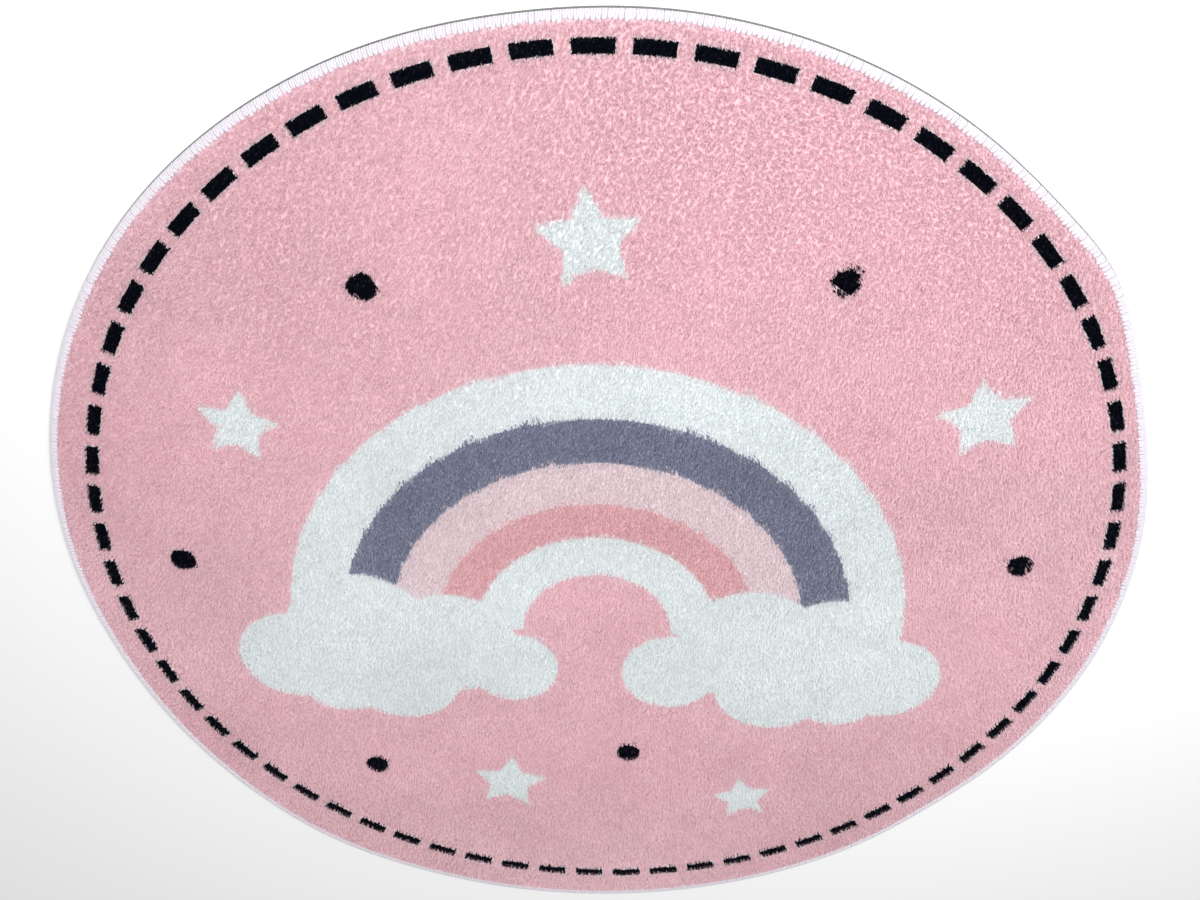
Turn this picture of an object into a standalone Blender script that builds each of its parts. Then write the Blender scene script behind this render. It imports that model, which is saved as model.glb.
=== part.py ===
"""A round rug for a child's room: a short-pile carpet disc, its cut edge wrapped in overlock yarn.

Run it with blender --background --python part.py. Units are metres, +Z is up and the floor is z = 0.
"""

import math
from collections import namedtuple

import bmesh
import bpy
from mathutils import Vector

MM = 0.001

# Driving sizes
EDGE_RADIUS = 665 * MM  # mean radius over the overlock yarn
SEGMENTS = 180  # steps round the rug
PILE_HEIGHT = 12.0  # mm, floor to pile tips
EDGE_WIDTH = 8.5  # mm, overlock yarn seen from above
EDGE_HEIGHT = 9.6  # mm, floor to the top of the overlock yarn
YARN_WALL = 1.6  # mm, yarn above, below and beyond the wrapped carpet
GAP = 0.3  # mm, between the carpet and the yarn round it
EDGE_ROUNDING = 2.6  # mm, on the yarn's outer corners
EDGE_SLOPE = 0.2  # mm, that the yarn's top falls towards the pile
ROUND_CORNER = 0.3  # share of a rounding at which its middle station lies on the arc
FLAT_PILE = 16.0  # mm, from the yarn in to where the pile is at its full height

# Where the cut edge strays from a true circle. The spread is the standard deviation of each swell or dip.
Swell = namedtuple("Swell", "angle_deg rise_mm spread_deg")
EDGE_SWELLS = (
    Swell(-163, -7.0, 13),
    Swell(-125, 8.0, 9),
    Swell(-104, 3.0, 10),
    Swell(-41, -5.0, 6),
    Swell(-13, 2.5, 8),
    Swell(20, -6.5, 8),
    Swell(38, 9.0, 5),
    Swell(98, -3.0, 8),
    Swell(140, 3.0, 14),
)

# How far the brushed pile has sunk at each distance in from the yarn.
Shoulder = namedtuple("Shoulder", "inset_mm drop_mm")
SHOULDERS = (Shoulder(6.0, 0.3), Shoulder(2.0, 1.1), Shoulder(0.0, 2.6))

# Sections through the edge, in mm: inset is the distance in from the yarn's outer face.
Station = namedtuple("Station", "inset height")


def edge_rise(angle):
    """How far the edge lies outside its mean circle at this angle in radians, in metres."""
    rise = 0.0
    for swell in EDGE_SWELLS:
        away = (math.degrees(angle) - swell.angle_deg + 180) % 360 - 180
        rise += swell.rise_mm * MM * math.exp(-0.5 * (away / swell.spread_deg) ** 2)
    return rise


def carpet_section():
    """From the flat of the pile down its brushed shoulder, out along the wrapped tongue, and back below."""
    tongue_top = EDGE_HEIGHT - YARN_WALL - GAP
    tongue_bottom = YARN_WALL + GAP
    tongue_end = YARN_WALL + GAP
    shoulder = EDGE_WIDTH + GAP
    return (
        Station(shoulder + FLAT_PILE, PILE_HEIGHT),
        *(Station(shoulder + fall.inset_mm, PILE_HEIGHT - fall.drop_mm) for fall in SHOULDERS),
        Station(shoulder, tongue_top),
        Station(tongue_end, tongue_top),
        Station(tongue_end, tongue_bottom),
        Station(shoulder, tongue_bottom),
        Station(shoulder, 0.0),
    )


def overlock_section():
    """A C open to the middle of the rug: a flat foot, a rounded outer face, and a slot for the tongue."""
    rounding = EDGE_ROUNDING
    corner = ROUND_CORNER * rounding
    slot_top = EDGE_HEIGHT - YARN_WALL
    return (
        Station(EDGE_WIDTH, 0.0),
        Station(rounding, 0.0),
        Station(corner, corner),
        Station(0.0, rounding),
        Station(0.0, EDGE_HEIGHT - rounding),
        Station(corner, EDGE_HEIGHT - corner),
        Station(rounding, EDGE_HEIGHT),
        Station(EDGE_WIDTH, EDGE_HEIGHT - EDGE_SLOPE),
        Station(EDGE_WIDTH, slot_top),
        Station(YARN_WALL, slot_top),
        Station(YARN_WALL, YARN_WALL),
        Station(EDGE_WIDTH, YARN_WALL),
    )


def turned_mesh(name, section, is_ring):
    """Turns a section about +Z and lets the result follow the edge. A ring's section is closed."""
    bm = bmesh.new()
    profile = [
        bm.verts.new((EDGE_RADIUS - station.inset * MM, 0.0, station.height * MM))
        for station in section
    ]
    followers = profile[1:] + profile[:1] if is_ring else profile[1:]
    edges = [bm.edges.new(pair) for pair in zip(profile, followers)]
    bmesh.ops.spin(
        bm,
        geom=profile + edges,
        axis=(0, 0, 1),
        cent=(0, 0, 0),
        angle=2 * math.pi,
        steps=SEGMENTS,
        use_merge=True,
    )
    if not is_ring:
        bmesh.ops.holes_fill(bm, edges=bm.edges[:], sides=0)
    for vert in bm.verts:
        outward = Vector((vert.co.x, vert.co.y, 0.0)).normalized()
        vert.co += outward * edge_rise(math.atan2(vert.co.y, vert.co.x))
    bmesh.ops.recalc_face_normals(bm, faces=bm.faces[:])
    mesh = bpy.data.meshes.new(name)
    bm.to_mesh(mesh)
    bm.free()
    mesh.shade_smooth()
    return mesh


def cloth_material(name, colour, roughness):
    material = bpy.data.materials.new(name)
    material.use_nodes = True
    shader = material.node_tree.nodes["Principled BSDF"]
    shader.inputs["Base Color"].default_value = (*colour, 1.0)
    shader.inputs["Roughness"].default_value = roughness
    shader.inputs["Metallic"].default_value = 0.0
    return material


def add_piece(collection, name, section, is_ring, material):
    piece = bpy.data.objects.new(name, turned_mesh(name, section, is_ring))
    piece.data.materials.append(material)
    collection.objects.link(piece)
    return piece


def stand_over_origin(pieces):
    """Shifts the pieces together, so that the middle of their bounding box is over the origin."""
    across = [vert.co.xy for piece in pieces for vert in piece.data.vertices]
    low = Vector((min(p.x for p in across), min(p.y for p in across), 0.0))
    high = Vector((max(p.x for p in across), max(p.y for p in across), 0.0))
    for piece in pieces:
        for vert in piece.data.vertices:
            vert.co -= (low + high) / 2


def main():
    for old in list(bpy.data.objects):
        bpy.data.objects.remove(old, do_unlink=True)
    rug = bpy.data.collections.new("round_rug")
    bpy.context.scene.collection.children.link(rug)

    pink_pile = cloth_material("pink_pile", (0.83, 0.42, 0.50), 1.0)
    white_yarn = cloth_material("white_yarn", (0.90, 0.86, 0.92), 0.8)
    carpet = add_piece(rug, "carpet", carpet_section(), False, pink_pile)
    overlock = add_piece(rug, "overlock_edge", overlock_section(), True, white_yarn)
    stand_over_origin((carpet, overlock))


main()
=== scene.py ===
"""A round rug for a child's room, dressed over its frame.

It is a printed short-pile carpet. Tufts of cut nylon yarn stand in a woven backing, a nursery design is
printed into them, and the cut edge is wrapped in overlock yarn. Units are metres, +Z is up and the floor
is z = 0.
"""

import math
from collections import namedtuple

import bmesh
import bpy
import numpy as np
from mathutils import Matrix, Vector


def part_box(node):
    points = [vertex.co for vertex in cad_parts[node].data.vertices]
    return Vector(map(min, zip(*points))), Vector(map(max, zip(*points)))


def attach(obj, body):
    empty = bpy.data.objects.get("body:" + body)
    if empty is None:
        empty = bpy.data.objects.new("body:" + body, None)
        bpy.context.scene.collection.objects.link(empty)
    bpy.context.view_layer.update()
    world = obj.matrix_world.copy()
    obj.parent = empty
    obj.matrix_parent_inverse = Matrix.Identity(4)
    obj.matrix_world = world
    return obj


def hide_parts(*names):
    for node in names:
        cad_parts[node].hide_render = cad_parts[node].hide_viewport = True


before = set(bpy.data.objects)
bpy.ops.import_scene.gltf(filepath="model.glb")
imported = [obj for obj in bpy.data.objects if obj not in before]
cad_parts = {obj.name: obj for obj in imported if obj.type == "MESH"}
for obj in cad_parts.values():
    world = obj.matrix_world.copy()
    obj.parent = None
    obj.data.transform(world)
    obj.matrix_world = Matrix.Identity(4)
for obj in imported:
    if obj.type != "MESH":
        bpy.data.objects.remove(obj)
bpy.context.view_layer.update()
MM = 0.001

# Heights, and distances in from the rug's outer edge
EDGE_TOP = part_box("overlock_edge")[1].z
EDGE_WIDTH = 8.5 * MM  # overlock yarn seen from above
BACKING_BOTTOM = 0.1 * MM
BACKING_TOP = 3.0 * MM
FOOT_TOP = 6.0 * MM  # where the tufts are packed too tight to see between them
FOOT_OVERLAP = 0.5 * MM  # how far the foot reaches down into the backing
TUCK = 3.0 * MM  # how far in from the outer face the backing and the foot end, inside the yarn
CARPET_UPPER = 8.5 * MM  # only the carpet's upper face lies above this

# The pile. A real tuft is dozens of fibres far too fine to show, so each is drawn as a few broad blades.
TUFT_PITCH = 3.2 * MM
TUFT_WANDER = 0.28  # how far a tuft stands off its place, as a share of the pitch
TUFT_CLEARANCE = 0.3 * MM  # between the last tufts and the overlock yarn
BLADES_PER_TUFT = 5
BLADE_HALF_WIDTH_MM = (0.4, 0.8)
ROOT_SPREAD_MM = (0.1, 0.9)  # from the tuft's middle to a blade's root
TIP_SPREAD_MM = (0.2, 2.0)  # and to its tip, before the nap's lean
ROOT_DEPTH = 1.0 * MM  # how far the roots stand in the foot
CUT_DEPTH_MM = 1.8  # the shortest blade is this much below the longest
LEAN_SHARE = (0.7, 1.3)  # how much of the nap's lean a blade takes up
BLADE_TURN = 0.5  # spread of the blades' facing, in radians
BLADE_TILT_MM = 0.3  # spread of a tip corner's height over the tip's middle
NAP_LEAN = (0.3 * MM, -1.4 * MM)  # the way the whole nap is brushed
NAP_PATCHES = (  # size of patch in metres, how far its nap leans off in mm, seed
    (0.22, 0.8, 1),
    (0.09, 0.5, 2),
    (0.035, 0.4, 3),
    (0.014, 0.4, 4),
)
NAP_SEED_STEP = 20  # from a patch's sideways lean to its lean up and down the design

# How the dye takes, tuft by tuft and blade by blade, and the painted sheen on the fibres
TUFT_TONE = 0.02
TONE_PATCHES = ((0.05, 0.02, 40), (0.15, 0.03, 41))  # size of patch in metres, strength, seed
BLADE_TONE = 0.04
DYE_STRAY = 0.35 * MM  # how far the print strays on a blade
SHEEN_AND_UNDYED_MEAN, SHEEN_AND_UNDYED_SPREAD = 0.09, 0.15  # share of a pale-dyed blade turned white: partly fibre the print leaves undyed, partly painted sheen
DARK_DYE = 0.05  # a dye darker than this soaks in, and shows only white specks: partly undyed fibre, partly painted sheen
SPECK_CHANCE, SPECK_MOST = 0.2, 0.05

# The overlock edge
STITCH_COUNT = 800  # one turn of yarn every 5.2 mm
STITCH_WANDER = 0.06  # how far a turn stands off its place, as a share of the pitch
STITCH_REACH = 0.6 * MM  # how much the turns differ in how far they reach in
STRAND_REACH = 0.25 * MM  # and how much the two strands of one turn do
STITCH_SLANT_MM = 0.8  # how far a turn runs ahead at its start, and falls behind at its end
STRAND_HALF_WIDTH, WIDTH_SPREAD = 1.45 * MM, 0.06
STRAND_HALF_THICK, THICK_SPREAD = 0.8 * MM, 0.08
STRAND_SIDES = 5
LOOPER_RADIUS = 0.8 * MM
LOOPER_HEIGHT = 1.0 * MM
LOOPER_SIDES = 6

# Dyes on the pile, sRGB
DYES = {
    "rose": "#F6D3DB",
    "milk": "#F3F8F9",
    "blush": "#F3E4E8",
    "coral": "#F0C6CC",
    "slate": "#8E93AB",
    "night": "#040817",
    # white mixed into the pile: undyed fibre, and painted sheen of the fibres
    "undyed_and_sheen_white": "#FBF6F6",
}


def linear(hex_colour):
    """An sRGB hex colour as linear RGB."""
    parts = [int(hex_colour[i : i + 2], 16) / 255 for i in (1, 3, 5)]
    return tuple(p / 12.92 if p <= 0.04045 else ((p + 0.055) / 1.055) ** 2.4 for p in parts)


# ---------------------------------------------------------------- printed design

Band = namedtuple("Band", "x y inner outer dye")  # a half ring standing on a level line
Disc = namedtuple("Disc", "x y radius dye")
Star = namedtuple("Star", "x y radius turn_deg dye")

RAINBOW = (
    Band(0.0, -0.10, 0.325, 0.395, "milk"),
    Band(0.0, -0.10, 0.265, 0.325, "slate"),
    Band(0.0, -0.10, 0.205, 0.265, "blush"),
    Band(0.0, -0.10, 0.155, 0.205, "coral"),
    Band(0.0, -0.10, 0.095, 0.155, "milk"),
)
CLOUDS = (
    Disc(-0.40, -0.16, 0.075, "milk"),
    Disc(-0.31, -0.11, 0.095, "milk"),
    Disc(-0.19, -0.13, 0.085, "milk"),
    Disc(-0.11, -0.17, 0.060, "milk"),
    Disc(-0.26, -0.19, 0.080, "milk"),
    Disc(-0.34, -0.20, 0.060, "milk"),
    Disc(0.39, -0.17, 0.070, "milk"),
    Disc(0.31, -0.12, 0.085, "milk"),
    Disc(0.20, -0.12, 0.095, "milk"),
    Disc(0.10, -0.17, 0.065, "milk"),
    Disc(0.24, -0.19, 0.080, "milk"),
    Disc(0.33, -0.20, 0.060, "milk"),
)
STARS = (
    Star(-0.02, 0.44, 0.060, 8, "milk"),
    Star(-0.42, 0.20, 0.050, -12, "milk"),
    Star(0.43, 0.24, 0.055, 15, "milk"),
    Star(-0.12, -0.40, 0.055, -6, "milk"),
    Star(0.22, -0.42, 0.045, 12, "milk"),
)
DOTS = (
    Disc(-0.26, 0.38, 0.016, "night"),
    Disc(0.25, 0.40, 0.016, "night"),
    Disc(0.05, -0.33, 0.016, "night"),
    Disc(-0.31, -0.37, 0.016, "night"),
    Disc(0.52, 0.03, 0.016, "night"),
    Disc(-0.52, 0.00, 0.016, "night"),
)
RING_MIDDLE = np.array((0.004, 0.013))
RING_RADIUS = 0.6185
RING_DASHES = 67
RING_FIRST_DEG = 0.93
DASH_LENGTH = 41.5 * MM
DASH_WIDTH = 15.0 * MM
PRINT_MARGIN = 1.3 * MM  # a hairline round each dash where the print leaves the yarn pale
MARGIN_FADE = 0.6  # share of milk in that hairline
STAR_WAIST = 0.5  # distance out to a star's notches, as a share of its radius


def in_band(band, x, y):
    distance = np.hypot(x - band.x, y - band.y)
    return (distance > band.inner) & (distance < band.outer) & (y > band.y)


def in_disc(disc, x, y):
    return np.hypot(x - disc.x, y - disc.y) < disc.radius


def in_star(star, x, y):
    """A five-pointed star with slightly full arms."""
    distance = np.hypot(x - star.x, y - star.y)
    turned = np.arctan2(y - star.y, x - star.x) - math.radians(90 + star.turn_deg)
    arm = np.abs((turned + math.pi / 5) % (math.tau / 5) - math.pi / 5)
    waist = STAR_WAIST * star.radius
    notch = math.pi / 5
    across = star.radius * waist * math.sin(notch)
    reach = across / (waist * np.sin(notch - arm) + star.radius * np.sin(arm))
    return distance < reach


def in_dash(x, y, margin=0.0):
    across = np.hypot(x - RING_MIDDLE[0], y - RING_MIDDLE[1]) - RING_RADIUS
    angle = np.arctan2(y - RING_MIDDLE[1], x - RING_MIDDLE[0]) - math.radians(RING_FIRST_DEG)
    pitch = math.tau / RING_DASHES
    along = ((angle + pitch / 2) % pitch - pitch / 2) * RING_RADIUS
    return (np.abs(across) < DASH_WIDTH / 2 + margin) & (np.abs(along) < DASH_LENGTH / 2 + margin)


def printed_dye(x, y):
    """The linear dye colour at each point, the last shape printed on top."""
    colour = np.tile(linear(DYES["rose"]), (len(x), 1))
    for shapes, inside in ((RAINBOW, in_band), (CLOUDS, in_disc), (STARS, in_star), (DOTS, in_disc)):
        for shape in shapes:
            colour[inside(shape, x, y)] = linear(DYES[shape.dye])
    margin = in_dash(x, y, PRINT_MARGIN)
    colour[margin] = (1 - MARGIN_FADE) * colour[margin] + MARGIN_FADE * np.array(linear(DYES["milk"]))
    colour[in_dash(x, y)] = linear(DYES["night"])
    return colour


# ---------------------------------------------------------------- helpers

NOISE_REACH = 0.8  # the noise covers a square this far either side of the middle


def soft_noise(x, y, size, seed):
    """A smooth random field from -1 to 1 whose bumps are about size across."""
    cells = int(2 * NOISE_REACH / size) + 3
    values = np.random.default_rng(seed).uniform(-1, 1, (cells, cells))
    u, v = (x + NOISE_REACH) / size, (y + NOISE_REACH) / size
    i, j = u.astype(int), v.astype(int)
    fu, fv = u - i, v - j
    fu, fv = fu * fu * (3 - 2 * fu), fv * fv * (3 - 2 * fv)
    low = values[i, j] * (1 - fu) + values[i + 1, j] * fu
    high = values[i, j + 1] * (1 - fu) + values[i + 1, j + 1] * fu
    return low * (1 - fv) + high * fv


def node_places(name):
    """The corners of one of the frame's nodes, one row each."""
    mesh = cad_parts[name].data
    places = np.empty(len(mesh.vertices) * 3)
    mesh.vertices.foreach_get("co", places)
    return places.reshape(-1, 3)


def read_outline():
    """Angle and distance from the middle of the overlock's outer face, at mid height."""
    x, y, z = node_places("overlock_edge").T
    wall = np.abs(z - EDGE_TOP / 2) < EDGE_TOP / 4
    angle, distance = np.arctan2(y[wall], x[wall]), np.hypot(x[wall], y[wall])
    order = np.argsort(angle)
    return angle[order], distance[order]


OUTLINE = read_outline()
MEAN_RADIUS = float(np.mean(OUTLINE[1]))


def edge_at(angle):
    """How far out the rug's edge lies at each angle."""
    return np.interp(angle, OUTLINE[0], OUTLINE[1], period=math.tau)


def read_pile_top():
    """Distance in from the edge, and height, of the carpet's upper face."""
    x, y, z = node_places("carpet").T
    inset = edge_at(np.arctan2(y, x)) - np.hypot(x, y)
    upper = z > CARPET_UPPER
    order = np.argsort(inset[upper])
    return inset[upper][order], z[upper][order]


PILE_TOP = read_pile_top()


def add_node(tree, kind, settings=None, **links):
    """Adds a shader node. Settings are its properties, and links its inputs: sockets or plain values.

    An input is named by its own name, or by i and its number.
    """
    node = tree.nodes.new(kind)
    for key, value in (settings or {}).items():
        setattr(node, key, value)
    for key, value in links.items():
        by_number = key[0] == "i" and key[1:].isdigit()
        target = node.inputs[int(key[1:]) if by_number else key.replace("_", " ")]
        if isinstance(value, bpy.types.NodeSocket):
            tree.links.new(value, target)
        else:
            target.default_value = value
    return node


def mixed(tree, share, first, second):
    """The colour that lies the given share of the way from the first to the second."""
    return add_node(tree, "ShaderNodeMix", {"data_type": "RGBA"}, i0=share, i6=first, i7=second).outputs[2]


def multiplied(tree, colour, shade):
    """The colour, darkened or lightened by a shade."""
    settings = {"data_type": "RGBA", "blend_type": "MULTIPLY"}
    return add_node(tree, "ShaderNodeMix", settings, i0=1.0, i6=colour, i7=shade).outputs[2]


def new_material(name, **settings):
    """A material with a Principled shader, and its node tree."""
    material = bpy.data.materials.new(name)
    material.use_nodes = True
    shader = material.node_tree.nodes["Principled BSDF"]
    for key, value in settings.items():
        shader.inputs[key.replace("_", " ")].default_value = value
    return material, material.node_tree, shader


def add_piece(mesh, material, slot, *nodes_replaced):
    """An object for the mesh, riding on the rug's one body."""
    piece = bpy.data.objects.new(mesh.name, mesh)
    bpy.context.scene.collection.objects.link(piece)
    mesh.materials.append(material)
    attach(piece, "root")
    if nodes_replaced:
        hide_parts(*nodes_replaced)
    return piece


def mesh_from_arrays(name, places, faces):
    """A mesh of faces that all have the same number of corners."""
    mesh = bpy.data.meshes.new(name)
    mesh.vertices.add(len(places))
    mesh.vertices.foreach_set("co", places.astype(np.float32).ravel())
    mesh.loops.add(faces.size)
    mesh.loops.foreach_set("vertex_index", faces.astype(np.int32).ravel())
    mesh.polygons.add(len(faces))
    mesh.polygons.foreach_set("loop_start", np.arange(0, faces.size, faces.shape[1], dtype=np.int32))
    mesh.update(calc_edges=True)
    return mesh


def add_attribute(mesh, name, values, domain="POINT"):
    """Stores a number, or a colour, for each point or face."""
    if values.ndim == 1:
        layer = mesh.attributes.new(name, "FLOAT", domain)
        layer.data.foreach_set("value", values.astype(np.float32))
        return
    colours = np.ones((len(values), 4), np.float32)
    colours[:, :3] = values
    layer = mesh.attributes.new(name, "FLOAT_COLOR", domain)
    layer.data.foreach_set("color", colours.ravel())


def add_bake_map(mesh):
    """Lays the piece flat on its own map, as seen from above."""
    places = np.empty(len(mesh.vertices) * 3, np.float32)
    mesh.vertices.foreach_get("co", places)
    flat = places.reshape(-1, 3)[:, :2]
    corner = np.empty(len(mesh.loops), np.int32)
    mesh.loops.foreach_get("vertex_index", corner)
    layer = mesh.uv_layers.new(name="OFBake", do_init=False)
    layer.uv.foreach_set("vector", ((flat - flat.min(0)) / np.ptp(flat, axis=0))[corner].ravel())


DASH_STEPS, GAP_STEPS = 5, 2  # a turned piece has a step at each end of each dash
RING_STEPS = (DASH_STEPS + GAP_STEPS) * RING_DASHES
EASE_FROM = 0.63  # a turned piece keeps the dash ring's middle out to here
EASE_WIDTH = 0.02  # and takes this much to ease out to the rug's own outline
EASE_TO = EASE_FROM + EASE_WIDTH
MERGE_DISTANCE = 0.01 * MM  # joins the copies of a corner that lies on the axis


def turned_piece(name, section, closed):
    """A section turned about the dash ring's middle, easing out to the rug's own outline at its edge.

    The section is a list of distances out from the middle and heights.
    """
    bm = bmesh.new()
    profile = [bm.verts.new((r, 0, z)) for r, z in section]
    pairs = zip(profile, profile[1:] + profile[:1] if closed else profile[1:])
    edges = [bm.edges.new(pair) for pair in pairs]
    turn = {"axis": (0, 0, 1), "cent": (0, 0, 0), "angle": math.tau}
    bmesh.ops.spin(bm, geom=profile + edges, steps=RING_STEPS, use_merge=True, **turn)
    bmesh.ops.remove_doubles(bm, verts=bm.verts[:], dist=MERGE_DISTANCE)
    start = math.radians(RING_FIRST_DEG) - DASH_STEPS / 2 * math.tau / RING_STEPS
    bmesh.ops.rotate(bm, verts=bm.verts[:], cent=(0, 0, 0), matrix=Matrix.Rotation(start, 3, "Z"))
    bmesh.ops.recalc_face_normals(bm, faces=bm.faces[:])
    mesh = bpy.data.meshes.new(name)
    bm.to_mesh(mesh)
    bm.free()
    places = np.empty(len(mesh.vertices) * 3)
    mesh.vertices.foreach_get("co", places)
    places = places.reshape(-1, 3)
    x, y = places[:, 0], places[:, 1]
    distance, angle = np.hypot(x, y), np.arctan2(y, x)
    ease = np.clip((distance - EASE_FROM) / EASE_WIDTH, 0, 1)
    out = distance + ease * (edge_at(angle) - MEAN_RADIUS)
    places[:, 0] = RING_MIDDLE[0] * (1 - ease) + out * np.cos(angle)
    places[:, 1] = RING_MIDDLE[1] * (1 - ease) + out * np.sin(angle)
    mesh.vertices.foreach_set("co", places.ravel())
    mesh.update()
    return mesh


# ---------------------------------------------------------------- materials

TUFT_MOTTLE = 0.8 * MM  # clumps of fibre in a cut tuft
FOOT_MOTTLE = 1.5 * MM  # tufts pressed together
THREAD_SPACING = 2.513 * MM  # of the backing's weave
WEAVE_RELIEF = 0.4 * MM
YARN_RELIEF = 0.3 * MM
YARN_CLUMP = 1.2 * MM  # bundles of filaments: the filaments themselves are too fine to show
THREAD_CLUMP = 0.8 * MM


def pile_material():
    """Cut nylon pile: matt, fuzzy fibres, painted shade darker down between the tufts, and paler tips, partly
    undyed fibre and partly painted sheen.
    """
    material, tree, shader = new_material("cut_nylon_pile", Roughness=0.8, Specular_IOR_Level=0.12)
    dye = add_node(tree, "ShaderNodeAttribute", {"attribute_name": "dye"})
    reach = add_node(tree, "ShaderNodeAttribute", {"attribute_name": "reach"})
    sheen_and_undyed = add_node(tree, "ShaderNodeAttribute", {"attribute_name": "sheen_and_undyed"})
    place = add_node(tree, "ShaderNodeTexCoord").outputs["Object"]
    fibre = add_node(tree, "ShaderNodeTexNoise", Vector=place, Scale=1 / TUFT_MOTTLE, Detail=2.0)
    shade = add_node(tree, "ShaderNodeMapRange", Value=fibre.outputs["Fac"], To_Min=-0.08, To_Max=0.08)
    # painted shade: each blade darker towards its root, down between the tufts
    deep = add_node(tree, "ShaderNodeMapRange", Value=reach.outputs["Fac"], To_Min=0.93, To_Max=1.0)
    root_shade_and_mottle = add_node(tree, "ShaderNodeMath", {"operation": "ADD"}, i0=deep.outputs[0], i1=shade.outputs[0])
    shaded = multiplied(tree, dye.outputs["Color"], root_shade_and_mottle.outputs[0])
    # pales each blade towards white, strongest at its tips: partly undyed fibre, partly painted sheen
    paling_by_sheen_and_undyed = mixed(tree, sheen_and_undyed.outputs["Fac"], shaded, (*linear(DYES["undyed_and_sheen_white"]), 1))
    tree.links.new(paling_by_sheen_and_undyed, shader.inputs["Base Color"])
    return material


def foot_material():
    """The foot of the pile: the same nylon packed tight, so duller and more mottled than the cut tips."""
    material, tree, shader = new_material("packed_pile_foot", Roughness=0.95, Specular_IOR_Level=0.1)
    dye = add_node(tree, "ShaderNodeAttribute", {"attribute_name": "dye"})
    place = add_node(tree, "ShaderNodeTexCoord").outputs["Object"]
    fibre = add_node(tree, "ShaderNodeTexNoise", Vector=place, Scale=1 / FOOT_MOTTLE, Detail=2.0)
    shade = add_node(tree, "ShaderNodeMapRange", Value=fibre.outputs["Fac"], To_Min=0.75, To_Max=1.15)
    packed = multiplied(tree, dye.outputs["Color"], shade.outputs[0])
    tree.links.new(packed, shader.inputs["Base Color"])
    return material


def backing_material():
    """Woven polyester with a thin latex coat: off-white, satin, with the weave just showing through."""
    material, tree, shader = new_material("woven_latex_backing", Roughness=0.6)
    place = add_node(tree, "ShaderNodeTexCoord").outputs["Object"]
    heights = []
    scale = math.pi / (10 * THREAD_SPACING)  # a wave repeats every pi / 10 over its scale
    for direction in ("X", "Y"):
        settings = {"bands_direction": direction}
        threads = {"Scale": scale, "Distortion": 0.6, "Detail": 1.0}
        wave = add_node(tree, "ShaderNodeTexWave", settings, Vector=place, **threads)
        heights.append(wave.outputs["Fac"])
    weave = add_node(tree, "ShaderNodeMath", {"operation": "MULTIPLY"}, i0=heights[0], i1=heights[1])
    coat = mixed(tree, weave.outputs[0], (*linear("#C9C3B8"), 1), (*linear("#DED9D0"), 1))
    bump = add_node(tree, "ShaderNodeBump", Height=weave.outputs[0], Strength=0.5, Distance=WEAVE_RELIEF)
    tree.links.new(coat, shader.inputs["Base Color"])
    tree.links.new(bump.outputs[0], shader.inputs["Normal"])
    return material


def spun_yarn(name, pale, deep, clump):
    """Bulked or spun polyester: matt, with bundles of filaments that show as soft mottling and fuzz."""
    material, tree, shader = new_material(name, Roughness=0.75, Specular_IOR_Level=0.25)
    place = add_node(tree, "ShaderNodeTexCoord").outputs["Object"]
    fuzz = add_node(tree, "ShaderNodeTexNoise", Vector=place, Scale=1 / clump, Detail=3.0, Roughness=0.6)
    shade = add_node(tree, "ShaderNodeMapRange", Value=fuzz.outputs["Fac"], From_Min=0.35, From_Max=0.65)
    colour = mixed(tree, shade.outputs[0], (*linear(deep), 1), (*linear(pale), 1))
    bump = add_node(tree, "ShaderNodeBump", Height=fuzz.outputs["Fac"], Strength=0.4, Distance=YARN_RELIEF)
    tree.links.new(colour, shader.inputs["Base Color"])
    tree.links.new(bump.outputs[0], shader.inputs["Normal"])
    return material


# ---------------------------------------------------------------- pieces

TUCKED_RADIUS = MEAN_RADIUS - TUCK
BACKING_RINGS = (0.0, 0.3, 0.5)  # it is flat there, so a few will do
DESIGN_RADIUS = 0.6  # the foot has a ring every 15 mm out to here, for the print on it
DESIGN_RINGS = 41
# the foot's print a little darker: painted shade down between the tufts
FOOT_SHADE = 0.97


def make_backing(material):
    """The woven backing: one thin closed sheet to the rug's outline."""
    rings = [*BACKING_RINGS, EASE_FROM, EASE_TO, TUCKED_RADIUS]
    upper = [(r, BACKING_TOP) for r in rings]
    lower = [(r, BACKING_BOTTOM) for r in rings[::-1]]
    mesh = turned_piece("woven_backing", upper + lower, closed=False)
    add_bake_map(mesh)
    return add_piece(mesh, material, "pile", "carpet")


def make_foot(material):
    """The foot of the pile, with the print on it."""
    rings = list(np.linspace(0, DESIGN_RADIUS, DESIGN_RINGS))
    rings += [RING_RADIUS - DASH_WIDTH / 2, RING_RADIUS, RING_RADIUS + DASH_WIDTH / 2]
    rings += [(EASE_FROM + EASE_TO) / 2, EASE_TO, TUCKED_RADIUS]
    low = BACKING_TOP - FOOT_OVERLAP
    section = [(r, FOOT_TOP) for r in rings] + [(r, low) for r in (TUCKED_RADIUS, EASE_TO, DESIGN_RADIUS, 0)]
    mesh = turned_piece("pile_foot", section, closed=False)
    centres = np.empty(len(mesh.polygons) * 3)
    mesh.polygons.foreach_get("center", centres)
    x, y, _ = centres.reshape(-1, 3).T
    # the print, darkened as painted shade
    add_attribute(mesh, "dye", printed_dye(x, y) * FOOT_SHADE, "FACE")
    add_bake_map(mesh)
    return add_piece(mesh, material, "pile", "carpet")


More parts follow.
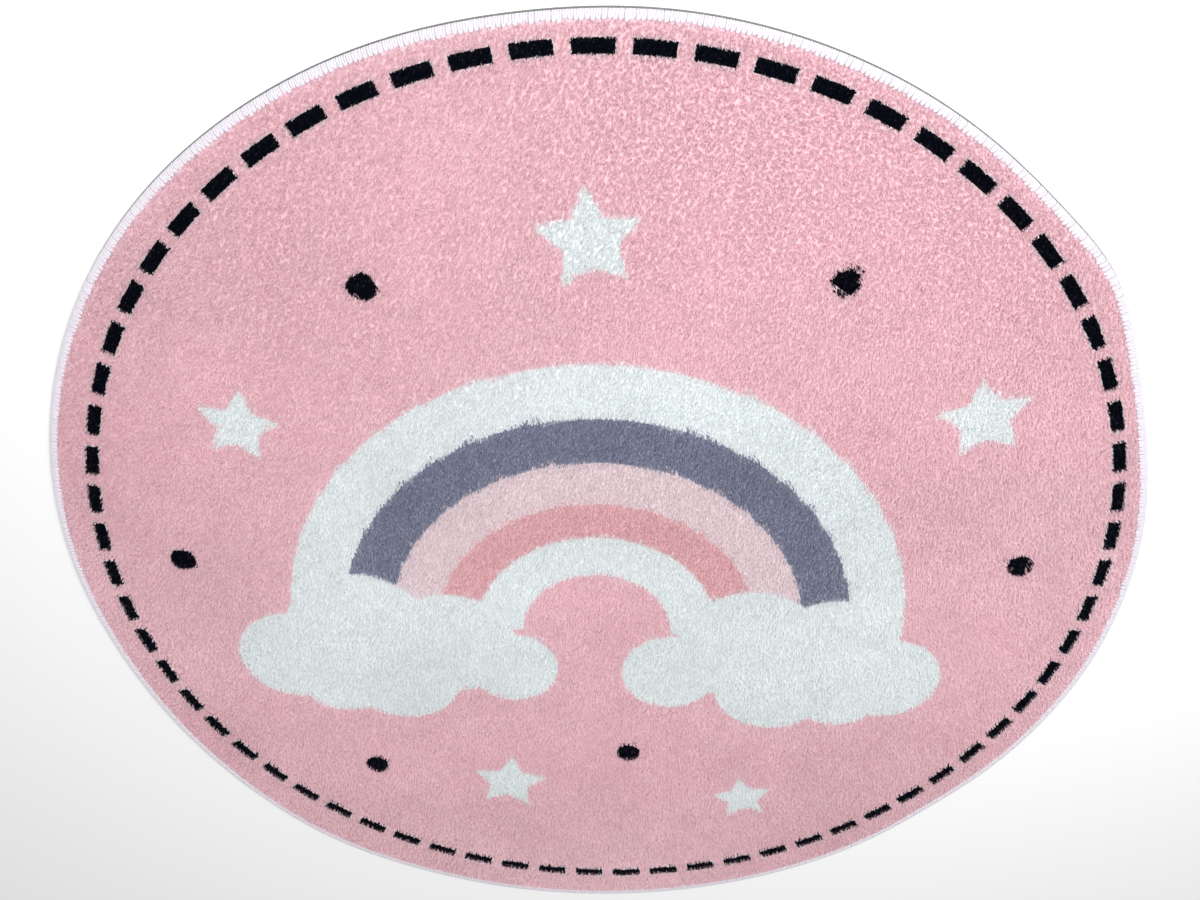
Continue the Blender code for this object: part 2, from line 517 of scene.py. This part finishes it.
def tuft_roots(rng):
    """Where the tufts stand: staggered rows across the rug, each tuft a little off its place."""
    reach = OUTLINE[1].max()
    row_step = TUFT_PITCH * math.sqrt(3) / 2  # so that each tuft is as far from all six round it
    rows = np.arange(-reach, reach, row_step)
    columns = np.arange(-reach, reach, TUFT_PITCH)
    x, y = np.meshgrid(columns, rows)
    x = x + (np.arange(len(rows)) % 2)[:, None] * TUFT_PITCH / 2
    x, y = x.ravel(), y.ravel()
    x = x + rng.normal(0, TUFT_WANDER * TUFT_PITCH, len(x))
    y = y + rng.normal(0, TUFT_WANDER * TUFT_PITCH, len(y))
    inside = np.hypot(x, y) < edge_at(np.arctan2(y, x)) - EDGE_WIDTH - TUFT_CLEARANCE
    return x[inside], y[inside]


def nap_lean(x, y):
    """How far each tuft's tip lies from over its root: the brushed nap, wandering from patch to patch."""
    lean_x, lean_y = (np.full(len(x), lean) for lean in NAP_LEAN)
    for size, amount, seed in NAP_PATCHES:
        lean_x += amount * MM * soft_noise(x, y, size, seed)
        lean_y += amount * MM * soft_noise(x, y, size, seed + NAP_SEED_STEP)
    return lean_x, lean_y


def make_pile(material):
    """The pile, as blades of fibre in tufts, in six blocks of the rug small enough to handle."""
    rng = np.random.default_rng(7)
    x, y = tuft_roots(rng)
    lean_x, lean_y = nap_lean(x, y)
    tone = 1 + TUFT_TONE * rng.normal(0, 1, len(x))
    for size, amount, seed in TONE_PATCHES:
        tone += amount * soft_noise(x, y, size, seed)
    block = np.digitize(y, np.quantile(y, (1 / 3, 2 / 3))) * 2 + (x > 0)
    pieces = []
    for number in range(6):
        at = block == number
        mesh = blades(f"pile_{number + 1}", x[at], y[at], lean_x[at], lean_y[at], tone[at], rng)
        pieces.append(add_piece(mesh, material, "pile"))
    return pieces


def blades(name, x, y, lean_x, lean_y, tone, rng):
    """A fan of blades for each tuft, narrow at the root and widest at the cut tip."""
    count = (len(x), BLADES_PER_TUFT)
    turn = rng.uniform(0, math.tau, (len(x), 1)) + np.arange(BLADES_PER_TUFT) * math.tau / BLADES_PER_TUFT
    out_x, out_y = np.cos(turn), np.sin(turn)
    foot = rng.uniform(*ROOT_SPREAD_MM, count) * MM
    splay = rng.uniform(*TIP_SPREAD_MM, count) * MM
    tip_x = x[:, None] + out_x * splay + lean_x[:, None] * rng.uniform(*LEAN_SHARE, count)
    tip_y = y[:, None] + out_y * splay + lean_y[:, None] * rng.uniform(*LEAN_SHARE, count)
    inset = edge_at(np.arctan2(tip_y, tip_x)) - np.hypot(tip_x, tip_y)
    tip_z = np.interp(inset, *PILE_TOP) - rng.uniform(0, CUT_DEPTH_MM, count) * MM
    root_z = np.full(count, FOOT_TOP - ROOT_DEPTH)
    root = np.stack([x[:, None] + out_x * foot, y[:, None] + out_y * foot, root_z], 2)
    tip = np.stack([tip_x, tip_y, tip_z], 2)
    side = turn + math.pi / 2 + rng.normal(0, BLADE_TURN, count)
    half = rng.uniform(*BLADE_HALF_WIDTH_MM, count) * MM
    tilt = rng.normal(0, BLADE_TILT_MM, count) * MM
    across = np.stack([np.cos(side) * half, np.sin(side) * half, tilt], 2)
    places = np.stack([root, tip - across, tip + across], 2).reshape(-1, 3)
    faces = np.arange(len(places)).reshape(-1, 3)
    stray = rng.normal(0, DYE_STRAY, (2, tip_x.size))
    dye = printed_dye(tip_x.ravel() + stray[0], tip_y.ravel() + stray[1])
    paling_by_sheen_and_undyed = np.clip(rng.normal(SHEEN_AND_UNDYED_MEAN, SHEEN_AND_UNDYED_SPREAD, len(dye)), 0, 1)
    specks = np.where(rng.random(len(dye)) < SPECK_CHANCE, rng.uniform(0.0, SPECK_MOST, len(dye)), 0.0)
    sheen_and_undyed = np.where(dye.mean(1) < DARK_DYE, specks, paling_by_sheen_and_undyed)
    dye = dye * (tone[:, None] * (1 + BLADE_TONE * rng.normal(0, 1, count))).reshape(-1, 1)
    reach = np.tile([0.0, 1.0, 1.0], len(faces))  # none at a blade's root and full at its two tip corners
    mesh = mesh_from_arrays(name, places, faces)
    add_attribute(mesh, "dye", np.repeat(dye, 3, axis=0))
    add_attribute(mesh, "reach", reach)
    # the paling, partly painted sheen, is none at the root and full at the tip
    add_attribute(mesh, "sheen_and_undyed", np.repeat(sheen_and_undyed, 3) * reach)
    add_bake_map(mesh)
    return mesh


# A turn of yarn, over the top, round the edge and back below. In mm: how far in from the outer face, how
# high, and how far each strand lies from the turn's middle line. Last, the share of the turn's own extra
# reach that is felt there.
STITCH_PATH = (
    (9.3, 8.3, 0.65, 1.0),
    (8.0, 9.2, 0.95, 0.5),
    (5.5, 9.3, 1.3, 0.0),
    (2.8, 8.9, 1.3, 0.0),
    (1.1, 7.3, 1.3, 0.0),
    (0.9, 4.8, 1.3, 0.0),
    (1.3, 2.6, 1.3, 0.0),
    (3.2, 1.1, 1.3, 0.0),
    (6.5, 0.9, 1.3, 0.0),
)


def make_stitches(material):
    """Turns of overlock yarn round the edge: two strands to a turn, each a thin tube over the same path."""
    rng = np.random.default_rng(11)
    table = np.array(STITCH_PATH)
    path, spread, wander = table[:, :2] * MM, table[:, 2] * MM, table[:, 3]
    steps, sides = len(table), STRAND_SIDES
    jitter = rng.normal(0, STITCH_WANDER, STITCH_COUNT)
    reach_in = rng.normal(0, STITCH_REACH, STITCH_COUNT)
    strand = np.tile([-1.0, 1.0], STITCH_COUNT)
    angle = np.repeat((np.arange(STITCH_COUNT) + jitter) * math.tau / STITCH_COUNT, 2)
    reach_in = np.repeat(reach_in, 2) + rng.normal(0, STRAND_REACH, len(angle))
    ahead = np.gradient(path, axis=0)
    ahead /= np.linalg.norm(ahead, axis=1)[:, None]
    outward = np.stack([ahead[:, 1], -ahead[:, 0]], 1)
    round_turn = np.arange(sides) * math.tau / sides + math.pi / 2
    # From here on the first axis holds strands, the second steps along the path, and the third sides.
    half_width = (STRAND_HALF_WIDTH * rng.normal(1, WIDTH_SPREAD, len(angle)))[:, None, None]
    half_thick = (STRAND_HALF_THICK * rng.normal(1, THICK_SPREAD, len(angle)))[:, None, None]
    slant = np.linspace(STITCH_SLANT_MM, -STITCH_SLANT_MM, steps)[:, None] * MM
    along = slant + strand[:, None, None] * spread[:, None] + half_width * np.cos(round_turn)
    thick = half_thick * np.sin(round_turn) * np.ones((1, steps, 1))
    inset = path[:, :1] + reach_in[:, None, None] * wander[:, None] + thick * outward[:, :1]
    height = path[:, 1:] + thick * outward[:, 1:]
    out = edge_at(angle)[:, None, None] - inset
    turn = angle[:, None, None]
    x = out * np.cos(turn) - along * np.sin(turn)
    y = out * np.sin(turn) + along * np.cos(turn)
    places = np.stack([x, y, np.maximum(height, BACKING_BOTTOM)], 3).reshape(-1, 3)
    here = (np.arange(steps - 1)[:, None] * sides + np.arange(sides)).ravel()
    beside = (np.arange(steps - 1)[:, None] * sides + (np.arange(sides) + 1) % sides).ravel()
    tube = np.stack([here, beside, beside + sides, here + sides], 1)
    faces = (tube + (np.arange(len(angle)) * steps * sides)[:, None, None]).reshape(-1, 4)
    mesh = mesh_from_arrays("overlock_stitches", places, faces)
    mesh.shade_smooth()
    add_bake_map(mesh)
    return add_piece(mesh, material, "edge_yarn", "overlock_edge")


CORE_SECTION = (  # inset from the outer face and height, in mm
    (8.8, 8.2),
    (7.0, 8.7),
    (3.0, 8.3),
    (1.6, 7.0),
    (1.4, 4.8),
    (1.8, 2.6),
    (3.4, 1.4),
    (8.8, 1.2),
)


def make_core(material):
    """The inner yarn of the overlock, seen between the turns."""
    section = [(MEAN_RADIUS - inset * MM, height * MM) for inset, height in CORE_SECTION]
    mesh = turned_piece("overlock_core", section, closed=True)
    mesh.shade_smooth()
    return add_piece(mesh, material, "edge_yarn", "overlock_edge")


def make_looper(material):
    """The looper thread, running round under the turns at the outer edge. Its dark grey is partly painted
    shade along the foot of the rug's edge.
    """
    section = []
    for side in range(LOOPER_SIDES):
        turn = side * math.tau / LOOPER_SIDES
        out = MEAN_RADIUS + LOOPER_RADIUS * math.cos(turn)
        section.append((out, LOOPER_HEIGHT + LOOPER_RADIUS * math.sin(turn)))
    mesh = turned_piece("looper_thread", section, closed=True)
    mesh.shade_smooth()
    return add_piece(mesh, material, "edge_yarn", "overlock_edge")


# ---------------------------------------------------------------- studio

FLOOR_HALF_WIDTH = 6.0
ROOM_BRIGHTNESS = 0.54
WINDOW_PLACE = (0.35, 1.0, 1.55)
WINDOW_WIDTH = 1.2
WINDOW_POWER = 29
CAMERA_PLACE = (-0.0016, 0.8655, 1.0454)
CAMERA_AIM = (-0.0030, 0.1768, 0.0)
CAMERA_ROLL_DEG = 181.83  # the design's top is nearest the camera, and upright in the view
CAMERA_LENS_MM = 32.16
CAMERA_SENSOR_MM = 36.0


def add_floor():
    """A white painted floor: plain and matt, so the rug's soft shadow is all that shows on it."""
    bm = bmesh.new()
    bmesh.ops.create_grid(bm, x_segments=1, y_segments=1, size=FLOOR_HALF_WIDTH)
    mesh = bpy.data.meshes.new("studio_floor")
    bm.to_mesh(mesh)
    bm.free()
    material, _, _ = new_material("painted_floor", Roughness=0.9, Base_Color=(*linear("#FDFDFD"), 1))
    mesh.materials.append(material)
    floor = bpy.data.objects.new("studio_floor", mesh)
    bpy.context.scene.collection.objects.link(floor)


def add_window():
    """Daylight from one side, as a soft round light aimed at the rug's middle."""
    lamp = bpy.data.lights.new("window", "AREA")
    lamp.shape = "DISK"
    lamp.size = WINDOW_WIDTH
    lamp.energy = WINDOW_POWER
    light = bpy.data.objects.new("window", lamp)
    light.location = WINDOW_PLACE
    light.rotation_mode = "QUATERNION"
    light.rotation_quaternion = (-Vector(WINDOW_PLACE)).to_track_quat("-Z", "Y")
    light.visible_camera = False
    bpy.context.scene.collection.objects.link(light)


def add_room():
    """A pale room all round, which fills the shadows."""
    world = bpy.data.worlds.new("soft_room")
    world.use_nodes = True
    background = world.node_tree.nodes["Background"]
    background.inputs["Color"].default_value = (1.0, 1.0, 1.0, 1)
    background.inputs["Strength"].default_value = ROOM_BRIGHTNESS
    bpy.context.scene.world = world
    bpy.context.scene.view_settings.view_transform = "Standard"


def add_camera():
    camera = bpy.data.objects.new("camera", bpy.data.cameras.new("camera"))
    camera.data.lens = CAMERA_LENS_MM
    camera.data.sensor_width = CAMERA_SENSOR_MM
    camera.location = CAMERA_PLACE
    camera.rotation_mode = "QUATERNION"
    look = (Vector(CAMERA_AIM) - Vector(CAMERA_PLACE)).to_track_quat("-Z", "Y")
    roll = Matrix.Rotation(math.radians(CAMERA_ROLL_DEG), 3, "Z").to_quaternion()
    camera.rotation_quaternion = look @ roll
    bpy.context.scene.collection.objects.link(camera)
    bpy.context.scene.camera = camera


add_camera()
add_room()
add_window()
add_floor()
backing = make_backing(backing_material())
foot = make_foot(foot_material())
pile = make_pile(pile_material())
yarn = spun_yarn("bulked_polyester_yarn", "#F4EFF6", "#D9D2DD", YARN_CLUMP)
# a dark grey thread: partly painted shade along the foot of the edge
thread_and_edge_shade = spun_yarn("grey_thread_and_painted_edge_shade", "#8B918A", "#6E746D", THREAD_CLUMP)
edging = [make_core(yarn), make_stitches(yarn), make_looper(thread_and_edge_shade)]
